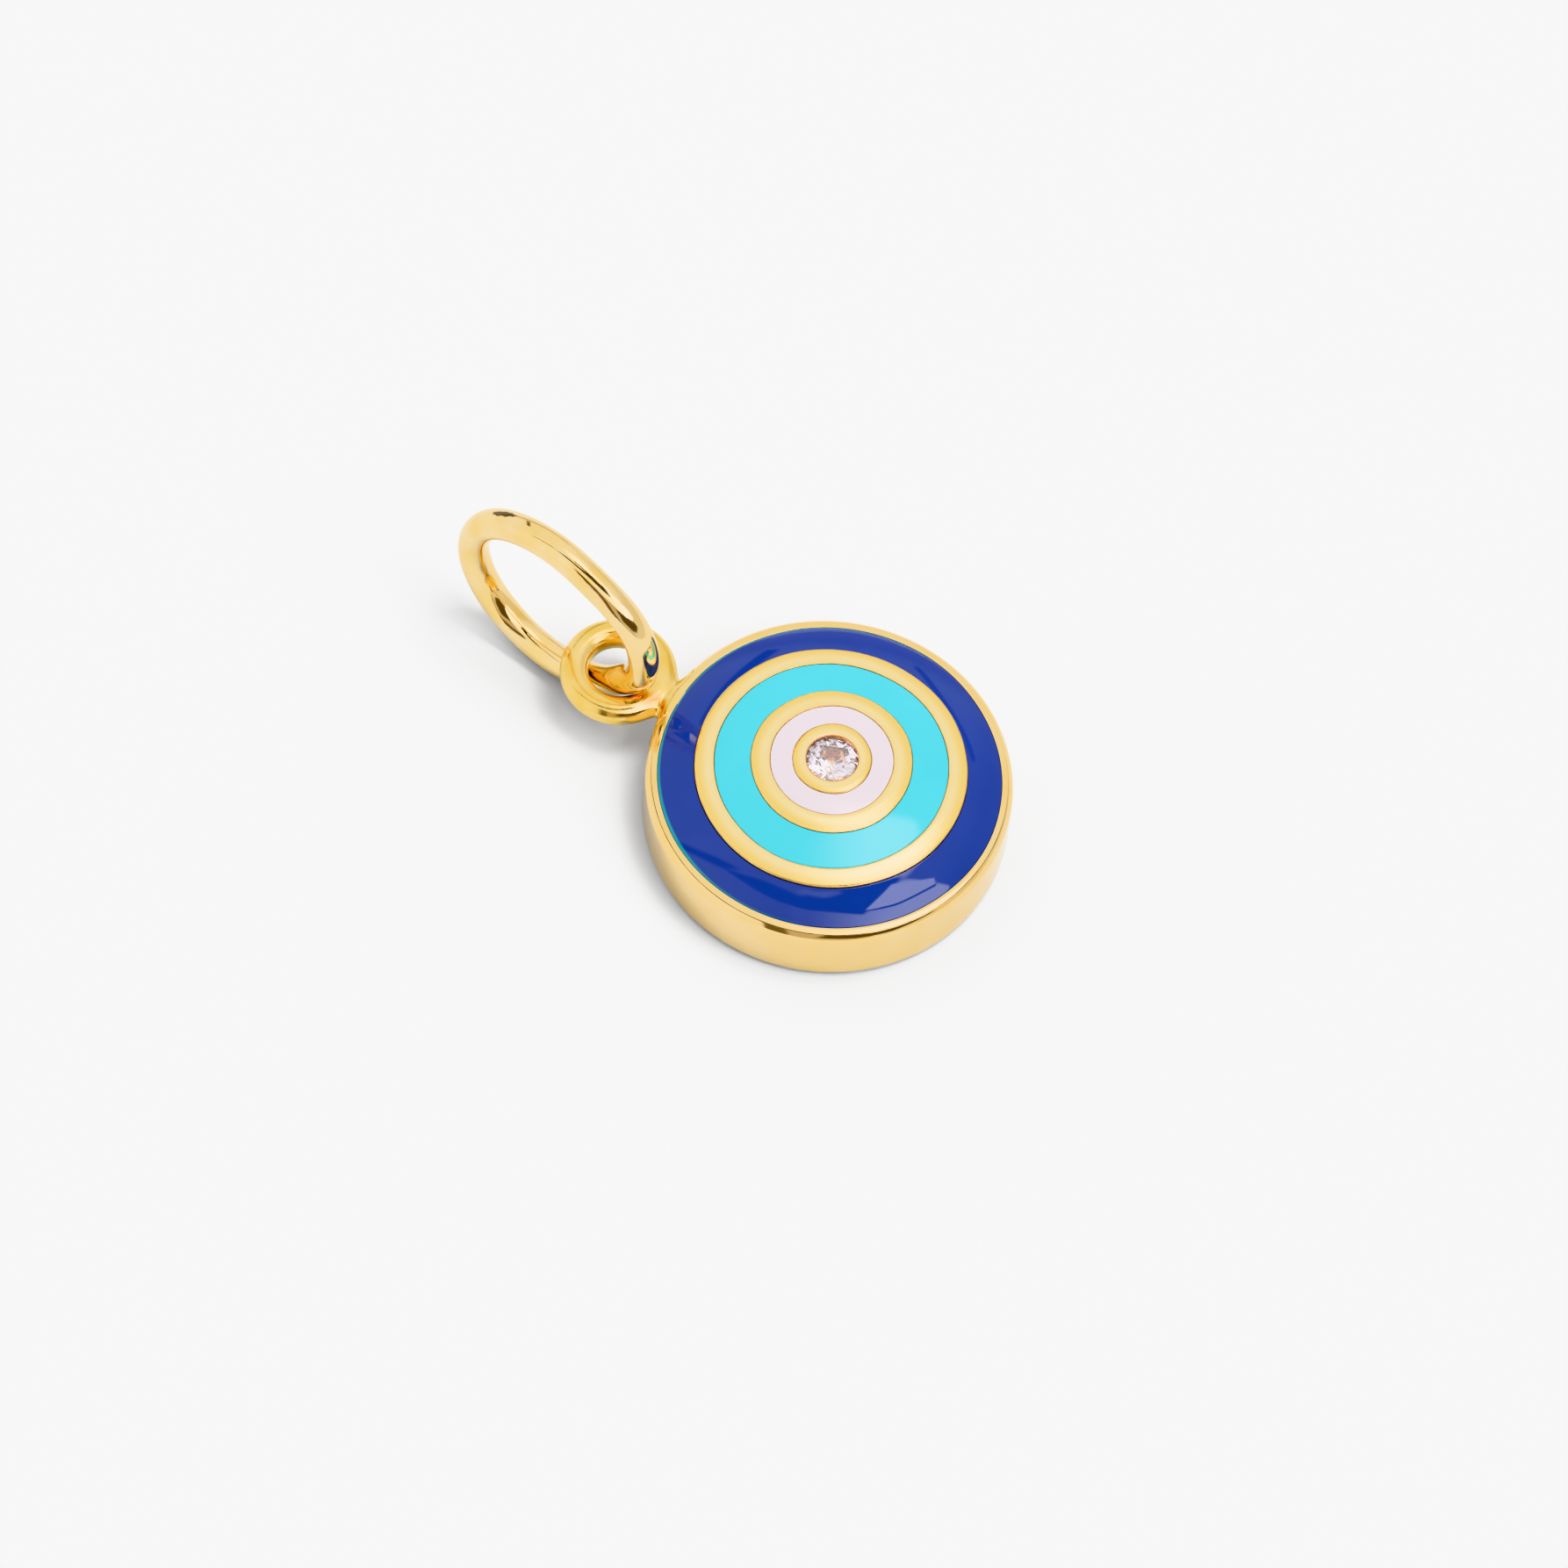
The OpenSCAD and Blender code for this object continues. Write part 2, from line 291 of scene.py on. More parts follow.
# In the looks below a noise is given by its scale and detail, and a bump by its strength and depth
goldLook = {
    "glow": (0.40, 0.385, 0.37), "waves": (330, 1.5), "waveBump": (0.35, 0.00012),
    "polished": {
        "light": (0.955, 0.715, 0.345), "deep": (0.93, 0.65, 0.24), "rough": (0.05, 0.12),
        "tone": (420, 3), "haze": (1500, 4), "scratches": (5200, 2), "scratchStretch": (1, 1, 0.15),
        "scratchBump": (0.05, 0.00001),
    },
    "satin": {
        "light": (0.985, 0.80, 0.43), "deep": (0.97, 0.765, 0.35), "rough": (0.08, 0.18),
        "tone": (700, 4), "lines": (60, 5), "lineStretch": (0.6, 3, 1), "lineRough": 0.7,
        "lineBump": (0.06, 0.00002),
        # where the painted highlight of the crest lies across a ridge, and how far from it the deeper painted
        # shade begins and is full
        "crestAt": 0.36, "crestWide": (0.06, 0.42), "insideShare": 0.55, "paintedSideShade": (0.975, 0.70, 0.215),
    },
    "tumbled": {
        "tone": (800, 4), "haze": (2200, 4), "dimples": (1500, 4), "ragged": (4200, 3), "raggedness": 0.9,
    },
    "loop": {
        "light": (0.95, 0.72, 0.31), "deep": (0.85, 0.56, 0.11), "rough": (0.11, 0.2),
        "dimpleBump": (0.3, 0.00004),
        "solderAndPaintedReflection": {"at": (-0.00056, 0.00675, 0.00245), "turn": (0, 0, 23.7),
                  "half": (0.00026, 0.00062, 0.00028), "edge": (0.8, 1.75), "colour": (0.74, 0.36, 0.03)},
    },
    "ring": {
        "light": (0.965, 0.75, 0.40), "deep": (0.93, 0.66, 0.23), "rough": (0.05, 0.13),
        "dimpleBump": (0.16, 0.00004),
        # on the ring the patch is a painted dark reflection, not solder
        "solderAndPaintedReflection": {"at": (0.00054, 0.01322, 0.0072), "turn": (-31.3, 0, 0),
                  "half": (0.00014, 0.00062, 0.0004), "edge": (1.25, 1.45), "colour": (0.15, 0.105, 0.045)},
    },
}


def forFloor(tree, colour, shader):
    # what the gold throws on the paper is kept weak and nearly neutral, so the contact shadow stays grey
    glow = blendTo(tree, lightPath(tree, "Is Diffuse Ray"), colour, goldLook["glow"])
    tree.links.new(glow, shader.inputs["Base Color"])


def softWaves(tree, where):
    # the long soft waves that hand work leaves on polished and tumbled gold alike
    return bumpOf(tree, noiseOf(tree, where, goldLook["waves"]), goldLook["waveBump"])


def makePolishedGold():
    # hand-polished plate: long soft waves, fine scratches and a slight change of tone
    look = goldLook["polished"]
    material, tree, shader = newMaterial("polishedGold", Metallic=1.0)
    where = objectPlace(tree)
    forFloor(tree, toneOf(tree, where, look), shader)
    hazeOf(tree, where, look, shader)
    scratches = noiseOf(tree, where, look["scratches"], look["scratchStretch"])
    normal = bumpOf(tree, scratches, look["scratchBump"], softWaves(tree, where))
    tree.links.new(normal, shader.inputs["Normal"])
    return material


def makeTumbledGold(name):
    # the loop's and the ring's gold isn't hand polished: it has a shallow dimpled skin over soft waves
    look = {**goldLook["tumbled"], **goldLook[name]}
    material, tree, shader = newMaterial(name + "Gold", Metallic=1.0)
    where = objectPlace(tree)
    # a ragged patch: orange solder where the loop meets the disc, and on the ring a painted dark reflection at
    # its top
    solderAndPaintedReflection = look["solderAndPaintedReflection"]
    place = addNode(tree, "ShaderNodeMapping", vector_type="TEXTURE")
    place.inputs["Location"].default_value = solderAndPaintedReflection["at"]
    place.inputs["Rotation"].default_value = [math.radians(v) for v in solderAndPaintedReflection["turn"]]
    place.inputs["Scale"].default_value = solderAndPaintedReflection["half"]
    tree.links.new(where, place.inputs["Vector"])
    far = vectorOf(tree, "LENGTH", place.outputs["Vector"])
    ragged = mathOf(tree, "MULTIPLY_ADD", noiseOf(tree, where, look["ragged"]), look["raggedness"], far)
    patch = rangeOf(tree, ragged, 1, 0, *solderAndPaintedReflection["edge"])
    forFloor(tree, blendTo(tree, patch, toneOf(tree, where, look), solderAndPaintedReflection["colour"]), shader)
    hazeOf(tree, where, look, shader)
    dimples = noiseOf(tree, where, look["dimples"])
    normal = bumpOf(tree, dimples, look["dimpleBump"], softWaves(tree, where))
    tree.links.new(normal, shader.inputs["Normal"])
    return material


def paintedShadeAcross(tree, where):
    # painted highlight and shade: 0 along a crest a little inside the middle of each ridge, rising to 1
    # outside it and more slowly inside
    look = goldLook["satin"]
    far = fromAxis(tree, where)
    deeper = None
    for rOut, rIn in ridges:
        wide = rOut - rIn
        beyond = mathOf(tree, "SUBTRACT", far, rIn + look["crestAt"] * wide)
        away = mathOf(tree, "MAXIMUM", beyond, mathOf(tree, "MULTIPLY", beyond, -look["insideShare"]))
        here = rangeOf(tree, away, 0, 1, *(share * wide for share in look["crestWide"]))
        deeper = here if deeper is None else mathOf(tree, "MINIMUM", deeper, here)
    return deeper


def makeSatinGold():
    # the ridges were rubbed level with the enamel, so fine lines run round them; the crests are painted palest
    # as a painted highlight, the sides deeper as painted shade
    look = goldLook["satin"]
    material, tree, shader = newMaterial("satinGold", Metallic=1.0)
    where = objectPlace(tree)
    # a painted highlight along each crest, painted shade towards the ridges' edges
    colour = blendTo(tree, paintedShadeAcross(tree, where), toneOf(tree, where, look), look["paintedSideShade"])
    tree.links.new(colour, shader.inputs["Base Color"])
    along = addNode(tree, "ShaderNodeTexCoord").outputs["UV"]
    lines = noiseOf(tree, along, look["lines"], look["lineStretch"], look["lineRough"])
    tree.links.new(rangeOf(tree, lines, *look["rough"]), shader.inputs["Roughness"])
    tree.links.new(bumpOf(tree, lines, look["lineBump"]), shader.inputs["Normal"])
    return material


creviceShadeLook = {
    # painted shade: lip round the stone's seat, edge along the ridges' edges
    "lip": {"deep": (0.55, 0.22, 0.09), "light": (0.86, 0.46, 0.2), "tone": (3200, 3), "rough": 0.25},
    "edge": {"deep": (0.74, 0.38, 0.09), "light": (0.93, 0.6, 0.2), "tone": (3200, 3), "rough": 0.2},
}


def makeCreviceShadeGold(name):
    # painted shade in the crevices, round the stone's seat and along the ridges' edges against the enamel:
    # deep orange, brown in places
    look = creviceShadeLook[name]
    material, tree, shader = newMaterial(name + "Gold", Metallic=1.0, Roughness=look["rough"])
    tree.links.new(toneOf(tree, objectPlace(tree), look), shader.inputs["Base Color"])
    return material


paintedDarkLineLook = {
    # dark is the painted dark reflection, clean the plain polished gold behind it and in the specks
    "dark": (0.07, 0.036, 0.012), "clean": (0.93, 0.655, 0.24), "rough": 0.3,
    "specks": (2600, 4), "speckShare": 0.35, "awayFromCamera": (0.915, 0.403, 0), "cleanFrom": (-0.002, 0.001),
}


def makePaintedDarkLineGold():
    # painted dark reflection along the line where the plate turns to the shoulder: dark on the front of the
    # rim, the side towards the camera, and polished clean behind
    material, tree, shader = newMaterial("paintedDarkLineGold", Metallic=1.0, Roughness=paintedDarkLineLook["rough"])
    where = objectPlace(tree)
    away = vectorOf(tree, "DOT_PRODUCT", where, paintedDarkLineLook["awayFromCamera"])
    clean = rangeOf(tree, away, 0, 1, *paintedDarkLineLook["cleanFrom"])
    specks = rangeOf(tree, noiseOf(tree, where, paintedDarkLineLook["specks"]), 0, paintedDarkLineLook["speckShare"])
    colour = mixColour(tree, mathOf(tree, "MAXIMUM", clean, specks), paintedDarkLineLook["dark"], paintedDarkLineLook["clean"])
    tree.links.new(colour, shader.inputs["Base Color"])
    return material


enamelLook = {
    "glass": {"tone": (500, 4), "haze": (1400, 3), "roll": (260, 1), "rollBump": (0.25, 0.00008)},
    "navy": {
        "deep": (0.010, 0.034, 0.226), "light": (0.013, 0.039, 0.25), "rough": (0.024, 0.039), "ior": 1.5,
        "thin": {"colour": (0.01, 0.26, 0.31), "from": (5.68, 5.74),
                 "side": (-0.09, 1.0, 0), "sideFrom": (-0.002, 0.003)},
    },
    "turquoise": {
        "deep": (0.05, 0.50, 0.59), "light": (0.057, 0.525, 0.615), "rough": (0.048, 0.078), "ior": 1.55,
    },
    "pink": {"deep": (0.58, 0.515, 0.55), "light": (0.60, 0.53, 0.56), "rough": (0.072, 0.117), "ior": 1.55},
}


def makeEnamel(name):
    # fired glass: an even colour with faint clouds under a glossy, very slightly rolling surface
    look = {**enamelLook["glass"], **enamelLook[name]}
    material, tree, shader = newMaterial(name + "Enamel", IOR=look["ior"])
    where = objectPlace(tree)
    colour = toneOf(tree, where, look)
    if "thin" in look:
        # the glass runs thin and greenish against the rim, more on the side of the loop
        thin = look["thin"]
        side = vectorOf(tree, "DOT_PRODUCT", where, thin["side"])
        share = mathOf(tree, "MULTIPLY", rangeOf(tree, fromAxis(tree, where), 0, 1, *thin["from"]),
                       rangeOf(tree, side, 0, 1, *thin["sideFrom"]))
        colour = blendTo(tree, share, colour, thin["colour"])
    tree.links.new(colour, shader.inputs["Base Color"])
    hazeOf(tree, where, look, shader)
    rolling = bumpOf(tree, noiseOf(tree, where, look["roll"]), look["rollBump"])
    tree.links.new(rolling, shader.inputs["Normal"])
    return material


stoneLook = {
    "light": (0.98, 0.93, 0.95), "lilac": (0.88, 0.82, 0.92), "ior": 1.72, "clear": 0.87,
    "rough": (0, 0.03), "haze": (2500, 3), "clouds": (1900, 2), "cloudEdge": (0.4, 0.6),
}


def makeStone():
    # a clear cut stone with a touch of body colour in lilac clouds, and the haze of wear on its facets
    material, tree, shader = newMaterial("cutStone", IOR=stoneLook["ior"])
    shader.inputs["Transmission Weight"].default_value = stoneLook["clear"]
    where = objectPlace(tree)
    hazeOf(tree, where, stoneLook, shader)
    clouds = rangeOf(tree, noiseOf(tree, where, stoneLook["clouds"]), 0, 1, *stoneLook["cloudEdge"])
    colour = mixColour(tree, clouds, stoneLook["lilac"], stoneLook["light"])
    tree.links.new(colour, shader.inputs["Base Color"])
    return material


# Gold disc with the ridges, the bezel, the channels and the stone's hollow

disc = {
    "backEdge": 0.3, "shoulder": 0.283, "cutEdge": 0.03, "channel": 0.12,
    "around": 480, "longest": 0.4, "backSteps": 16, "rimSteps": 10, "shoulderSteps": 12, "ridgeSteps": 25,
    "seatGap": 0.012, "culetZ": 2.79, "girdleLowZ": 3.564, "girdleTopZ": 3.614, "lowerR": 0.198,
    "lipTopZ": 3.66, "skin": 0.02,
    # how proud each ridge is, how flat-topped, and how far its outer edge is raised, from the rim inwards
    "ridges": [(0.012, 8, 0.055), (0.015, 2.3, 0.0), (0.03, 2.6, 0.0)],
    # length and the slope in degrees at both ends of the land, the crisp turn and the shoulder
    "rim": [(0.205, 4, 16), (0.032, 16, 40), (0.2, 40, 62)], "rimLip": 0.02,
    # where the painted dark reflection on the rim's turn and the painted shade of the stone's lip begin and
    # end, and the width of the orange painted shade along the ridges
    "paintedDarkLine": (5.985, 6.012), "paintedDarkLineDeep": 0.1, "lip": (0.8, 0.915), "shadeLine": 0.035,
}


def ridgeArc(rIn, rOut, proud, power, raised):
    # curve through both edges of a ridge: chord + crest * (1 - |s|^power), with s from -1 to 1 across it,
    # and the chord's outer end raised above the enamel
    s = np.linspace(-1, 1, disc["ridgeSteps"])
    r = (rIn + rOut) / 2 + s * (rOut - rIn) / 2
    chord = domeZ(rIn) + (domeZ(rOut) + raised - domeZ(rIn)) * (s + 1) / 2
    crest = float(domeZ((rIn + rOut) / 2) - (domeZ(rIn) + domeZ(rOut)) / 2) + proud
    return np.stack([r, chord + crest * (1 - np.abs(s) ** power)], -1)


def rimPath():
    # the rim's section, from the wall up to the navy: each stretch is an arc whose slope goes from one angle
    # to another, and the last one fills what is left of the radius: radius = left / (1 - sin(slope))
    ends = [np.array([[face["navyR"], face["rimZ"]]])]
    steps = disc["rimSteps"]
    for length, first, last in disc["rim"]:
        slope = math.radians(first) + math.radians(last - first) * (np.arange(steps) + 0.5) / steps
        move = np.stack([np.cos(slope), -np.sin(slope)], -1) * length / steps
        ends.append(ends[-1][-1] + np.cumsum(move, axis=0))
    start, slope = ends[-1][-1], math.radians(disc["rim"][-1][2])
    radius = (face["discR"] - start[0]) / (1 - math.sin(slope))
    turn = np.linspace(slope, math.pi / 2, disc["shoulderSteps"])[1:]
    arc = np.stack([np.sin(turn) - math.sin(slope), np.cos(turn) - math.cos(slope)], -1)
    ends.append(start + radius * arc)
    return np.concatenate(ends)[::-1]


def discProfile():
    # from the middle of the back round the wall and over the face to the bottom of the stone's hollow
    deep, edge, gap = disc["channel"], disc["cutEdge"], disc["seatGap"]
    rim = rimPath()
    back = roundedCorner((0, 0), (face["discR"], 0), rim[0], disc["backEdge"], disc["backSteps"])
    lip = roundedCorner(rim[-2], rim[-1], (face["navyR"], face["rimZ"] - deep), disc["rimLip"])
    parts = [back[:-1], rim[:-1], lip[1:]]
    for (rOut, rIn), look in zip(ridges, disc["ridges"]):
        arc = ridgeArc(rIn, rOut, *look)[::-1]
        outer = roundedCorner((rOut, float(domeZ(rOut)) - deep), arc[0], arc[1], edge)
        inner = roundedCorner(arc[-2], arc[-1], (rIn, float(domeZ(rIn)) - deep), edge)
        parts += [outer[:-1], arc[1:-1], inner[1:]]
    parts[-1] = parts[-1][:-1]
    parts.append(np.array([
        [face["lipR"], disc["lipTopZ"]],
        [face["stoneR"] + gap, disc["girdleTopZ"] + gap],
        [face["stoneR"] + gap, disc["girdleLowZ"] - gap],
        [disc["lowerR"] + gap, disc["culetZ"] - gap],
        [0, disc["culetZ"] - gap]]))
    return densePath(np.concatenate(parts), disc["longest"])


def discZone(r, z):
    # satin on the crests of the ridges and the bezel, orange painted shade along their edges, a fine painted
    # dark reflection on the rim;
    # the numbers count the golds of the disc: polished, satin, the rim's painted dark line, and the painted
    # shade of the lip and of the edges
    onFace = z > domeZ(np.minimum(r, face["navyR"])) - disc["skin"]
    satin = onFace & np.any([(r > rIn) & (r < rOut) for rOut, rIn in ridges], axis=0)
    # a thin line on the rim's turn, painted darker as a reflection on the camera's side
    paintedDarkLine = (r > disc["paintedDarkLine"][0]) & (r < disc["paintedDarkLine"][1]) & (z > face["rimZ"] - disc["paintedDarkLineDeep"])
    # the lip over the stone gets the painted shade of its seat
    lip = (r > disc["lip"][0]) & (r < disc["lip"][1]) & (z > disc["girdleTopZ"])
    # orange painted shade along the edges of the ridges and the bezel
    edges = [radius for pair in ridges for radius in pair if radius != face["lipR"]]
    paintedShadeEdge = satin & (np.abs(r[:, None] - edges).min(axis=1) < disc["shadeLine"])
    return np.select([lip, paintedDarkLine, paintedShadeEdge], [3, 2, 4], satin.astype(int)).astype(np.int32)


# Enamel rings

enamel = {"gap": 0.012, "thick": 0.1, "edge": 0.035, "drop": 0.012, "around": 480, "across": 25}


def enamelProfile(rIn, rOut):
    # a closed section: the top follows the dome a little below it, and its edges roll down to the gold
    a, b = rIn + enamel["gap"], rOut - enamel["gap"]
    drop, thick = enamel["drop"], enamel["thick"]
    under = lambda r, depth: (r, float(domeZ(r)) - depth)
    r = np.linspace(b, a, enamel["across"])[1:-1]
    top = np.stack([r, domeZ(r) - drop], -1)
    outer = roundedCorner(under(b, thick), under(b, drop), top[0], enamel["edge"])
    inner = roundedCorner(top[-1], under(a, drop), under(a, thick), enamel["edge"])
    return np.concatenate([outer[:-1], top, inner[1:]])


# Loop on the disc, with the solder that joins it to the wall

loop = {
    "y": 8.19, "z": 2.0, "r": 1.49, "wire": 0.49, "blend": 0.75, "sink": 0.012, "cell": 0.045,
    # how deep it goes into the wall and how far from the wire, then the box round its net
    "shell": 0.09, "reach": 0.62, "halfWide": 2.75, "halfTall": 0.8, "inward": 0.9, "outward": 0.1,
    # how often the net is evened out, and how many steps back to the surface that takes each time
    "rounds": 6, "pulls": 3,
}


def loopField(p):
    # smooth union of the wire ring and the disc's wall, kept to a thin shell inside the wall
    x, y, z = p[..., 0], p[..., 1], p[..., 2]
    fromRing = np.sqrt(x ** 2 + (y - loop["y"]) ** 2) - loop["r"]
    wire = np.sqrt(fromRing ** 2 + (z - loop["z"]) ** 2) - loop["wire"]
    halfH = face["rimZ"] / 2
    radius = disc["shoulder"]
    qx = np.sqrt(x ** 2 + y ** 2) - (face["discR"] - radius)
    qz = np.abs(z - halfH) - (halfH - radius)
    outside = np.sqrt(np.maximum(qx, 0) ** 2 + np.maximum(qz, 0) ** 2)
    wall = outside + np.minimum(np.maximum(qx, qz), 0) - radius
    sunk = wall + loop["sink"]
    k = loop["blend"]
    h = np.maximum(k - np.abs(wire - sunk), 0) / k
    joined = np.minimum(wire, sunk) - h ** 3 * k / 6
    return np.maximum(np.maximum(joined, -(wall + loop["shell"])), wire - loop["reach"])


def surfaceOf(field, low, high, cell):
    # surface nets: one vertex in each cell that the surface crosses, one quad round each crossed edge
    count = np.ceil((np.array(high) - low) / cell).astype(int)
    axes = [low[i] + cell * np.arange(count[i] + 1) for i in range(3)]
    lattice = np.stack(np.meshgrid(*axes, indexing="ij"), -1)
    inside = field(lattice) < 0
    c = tuple(count)
    total = sum(inside[i:c[0] + i, j:c[1] + j, k:c[2] + k].astype(int)
                for i in (0, 1) for j in (0, 1) for k in (0, 1))
    crossed = (total > 0) & (total < 8)
    index = np.full(c, -1)
    index[crossed] = np.arange(crossed.sum())
    points = lattice[:-1, :-1, :-1][crossed] + cell / 2
    quads = []
    for axis in range(3):
        u, v = (axis + 1) % 3, (axis + 2) % 3
        a = np.moveaxis(inside, (axis, u, v), (0, 1, 2))
        idx = np.moveaxis(index, (axis, u, v), (0, 1, 2))
        first, second = a[:-1, 1:-1, 1:-1], a[1:, 1:-1, 1:-1]
        i, j, k = np.nonzero(first != second)
        ring = np.stack([idx[i, j, k], idx[i, j + 1, k], idx[i, j + 1, k + 1], idx[i, j, k + 1]], -1)
        flip = ~first[i, j, k]
        ring[flip] = ring[flip][:, ::-1]
        quads.append(ring)
    return points, np.concatenate(quads)


def slopeOf(field, p, step=1e-4):
    # gradient of a field by central differences
    out = np.empty_like(p)
    for axis in range(3):
        shift = np.zeros(3)
        shift[axis] = step
        out[:, axis] = (field(p + shift) - field(p - shift)) / (2 * step)
    return out


def makeLoop(materials):
    # a net over the field's surface, whose normals are the field's slope
    wide, tall = loop["halfWide"], loop["halfTall"]
    low = np.array([-wide, face["discR"] - loop["inward"], loop["z"] - tall])
    high = np.array([wide, loop["y"] + loop["r"] + loop["wire"] + loop["outward"], loop["z"] + tall])
    points, quads = surfaceOf(loopField, low, high, loop["cell"])
    for _ in range(loop["rounds"]):
        # move each point half way to its neighbours' middle, then back to the surface along the slope
        total = np.zeros_like(points)
        count = np.zeros(len(points))
        for side in range(4):
            a, b = quads[:, side], quads[:, (side + 1) % 4]
            np.add.at(total, a, points[b])
            np.add.at(count, a, 1)
            np.add.at(total, b, points[a])
            np.add.at(count, b, 1)
        points = points + 0.5 * (total / count[:, None] - points)
        for _ in range(loop["pulls"]):
            slope = slopeOf(loopField, points)
            points = points - (loopField(points) / np.maximum((slope ** 2).sum(1), 0.1))[:, None] * slope
    slope = slopeOf(loopField, points)
    normals = slope / np.linalg.norm(slope, axis=1)[:, None]
    return meshPiece("solderedLoop", points, quads, materials=materials, normals=normals)


# Jump ring: round wire along an egg-shaped path

ring = {
    "wire": 0.54, "r": 3.46, "pull": 1.4, "noseUp": 19.076, "turn": 9.3, "side": 0.32, "run": 2.72681,
    "midZ": 4.0, "soften": 0.35, "fine": 8000, "along": 900, "round": 88, "uneven": 0.012,
}


def ringPath():
    # the curvature of round part, flank, nose and flank, softened where they join, is summed to a closed line
    cosine, sine, fine = 3 / 5, 4 / 5, ring["fine"]
    part, flank = math.acos(cosine), ring["pull"] * sine
    noseR = ring["r"] - ring["pull"] * cosine
    lengths = np.array([noseR * part, flank, ring["r"] * (math.pi - part)])
    whole = 2 * lengths.sum()
    s = (np.arange(fine) + 0.5) / fine * whole
    near = np.minimum(s, whole - s)
    bend = np.where(near < lengths[0], 1 / noseR, np.where(near < lengths[:2].sum(), 0, 1 / ring["r"]))
    wave = np.fft.rfft(bend)
    wide = ring["soften"] / whole
    bend = np.fft.irfft(wave * np.exp(-2 * (math.pi * wide * np.arange(len(wave))) ** 2), fine)
    step = whole / fine
    heading = math.pi / 2 + (np.cumsum(bend) - bend / 2) * step
    x, y = np.cumsum(np.cos(heading)) * step, np.cumsum(np.sin(heading)) * step
    x, y = x - x[-1] * (s / whole), y - y[-1] * (s / whole)
    x = x + ring["pull"] + noseR - (x[0] + x[-1]) / 2
    pick = np.linspace(0, fine, ring["along"], endpoint=False).astype(int)
    return np.stack([x, y], -1)[pick], s[pick] / whole


def makeRing(materials):
    # the wire's section is carried along the path; its radius shrinks a little here and there
    path, share = ringPath()
    ahead = np.roll(path, -1, axis=0) - np.roll(path, 1, axis=0)
    ahead /= np.linalg.norm(ahead, axis=1)[:, None]
    out = np.stack([ahead[:, 1], -ahead[:, 0]], -1)
    v = np.arange(ring["round"]) / ring["round"] * 2 * math.pi
    # two waves that run askew along the wire, from 0 to 1
    a, b = share[:, None] * 2 * math.pi, v[None, :]
    uneven = 0.5 + 0.25 * np.sin(3 * a + 2 * b + 0.6) + 0.25 * np.sin(7 * a - b + 1.9)
    radius = ring["wire"] - ring["uneven"] * uneven
    flatX = path[:, 0][:, None] + radius * np.cos(b) * out[:, 0][:, None]
    flatY = path[:, 1][:, None] + radius * np.cos(b) * out[:, 1][:, None]
    flatZ = radius * np.sin(b) + 0 * flatX
    up = math.radians(ring["noseUp"])
    planeX = flatX * math.cos(up) - flatY * math.sin(up)
    planeY = flatX * math.sin(up) + flatY * math.cos(up)
    # the ring's plane stands upright: its x runs towards the disc and its y upwards
    standing = Matrix.Translation((0, loop["y"], 0)) @ Matrix.Rotation(math.radians(-ring["turn"]), 4, "Z") \
        @ Matrix.Translation((-ring["side"], ring["run"], ring["midZ"])) \
        @ Matrix.Rotation(math.radians(-90), 4, "Z") @ Matrix.Rotation(math.radians(90), 4, "X")
    m = np.array(standing)
    flat = np.stack([planeX, planeY, flatZ], -1).reshape(-1, 3)
    points = flat @ m[:3, :3].T + m[:3, 3]
    quads = gridQuads(ring["along"], ring["round"], wrapRows=True)
    uv = np.stack(np.broadcast_arrays(share[:, None], v[None, :] / (2 * math.pi)), -1).reshape(-1, 2)
    return meshPiece("jumpRing", points, quads, uv=uv, materials=materials)


def facingOut(piece):
    # turns a closed piece's faces outwards if its signed volume comes out negative
    mesh = piece.data
    co = np.zeros(len(mesh.vertices) * 3)
    mesh.vertices.foreach_get("co", co)
    co = co.reshape(-1, 3)
    mesh.calc_loop_triangles()
    tri = np.zeros(len(mesh.loop_triangles) * 3, np.int32)
    mesh.loop_triangles.foreach_get("vertices", tri)
    a, b, c = (co[tri.reshape(-1, 3)[:, i]] for i in range(3))
    volume = (a * np.cross(b, c)).sum() / 6
    if volume < 0:
        mesh.flip_normals()
        mesh.update()
    print(piece.name, "holds", round(abs(volume) * 1e9, 2), "mm3", "turned" if volume < 0 else "")
    return piece


clearOldScene()
discGolds = [makePolishedGold(), makeSatinGold(), makePaintedDarkLineGold(), makeCreviceShadeGold("lip"), makeCreviceShadeGold("edge")]
goldDisc = facingOut(lathe("goldDisc", discProfile(), disc["around"], discGolds,
                           zoneOf=discZone, wobble=waver))
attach(goldDisc, "root"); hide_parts("pendant_body")
print("disc made")

for name, rIn, rOut in (
        ("navy", face["outerRidgeR"], face["navyR"]),
        ("turquoise", face["innerRidgeR"], face["turquoiseR"]),
        ("pink", face["bezelR"], face["pinkR"])):
    piece = facingOut(lathe(name + "Ring", enamelProfile(rIn, rOut), enamel["around"], [makeEnamel(name)],
                            wobble=waver, closed=True))
    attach(piece, "root"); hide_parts(name + "_enamel")
print("enamel made")

solderedLoop = facingOut(makeLoop([makeTumbledGold("loop")]))
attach(solderedLoop, "root"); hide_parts("pendant_body")
jumpRing = facingOut(makeRing([makeTumbledGold("ring")]))
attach(jumpRing, "root"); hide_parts("jump_ring")
print("loop and ring made")

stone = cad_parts["centre_stone"]
stone.data.materials.clear()
stone.data.materials.append(makeStone())

# Floor, light and camera

studio = {
    "floor": (0.87, 0.87, 0.87), "mirroredFloor": (0.78, 0.78, 0.78), "paperRough": 0.9,
    "grain": (900, 3), "grainShare": 1.01, "floorReach": 3.0, "behind": 1.5,
    # the lens: metres away, sensor in millimetres, pixels to a millimetre, pixels across, and the rim's middle
    "distance": 0.5, "clip": (0.01, 20), "sensor": 36, "scale": 34.0, "imageSize": 1786,
    "rimAt": (945.2, 885.1), "elevation": 60.8, "azimuth": -66.25, "roll": 7.2,
}

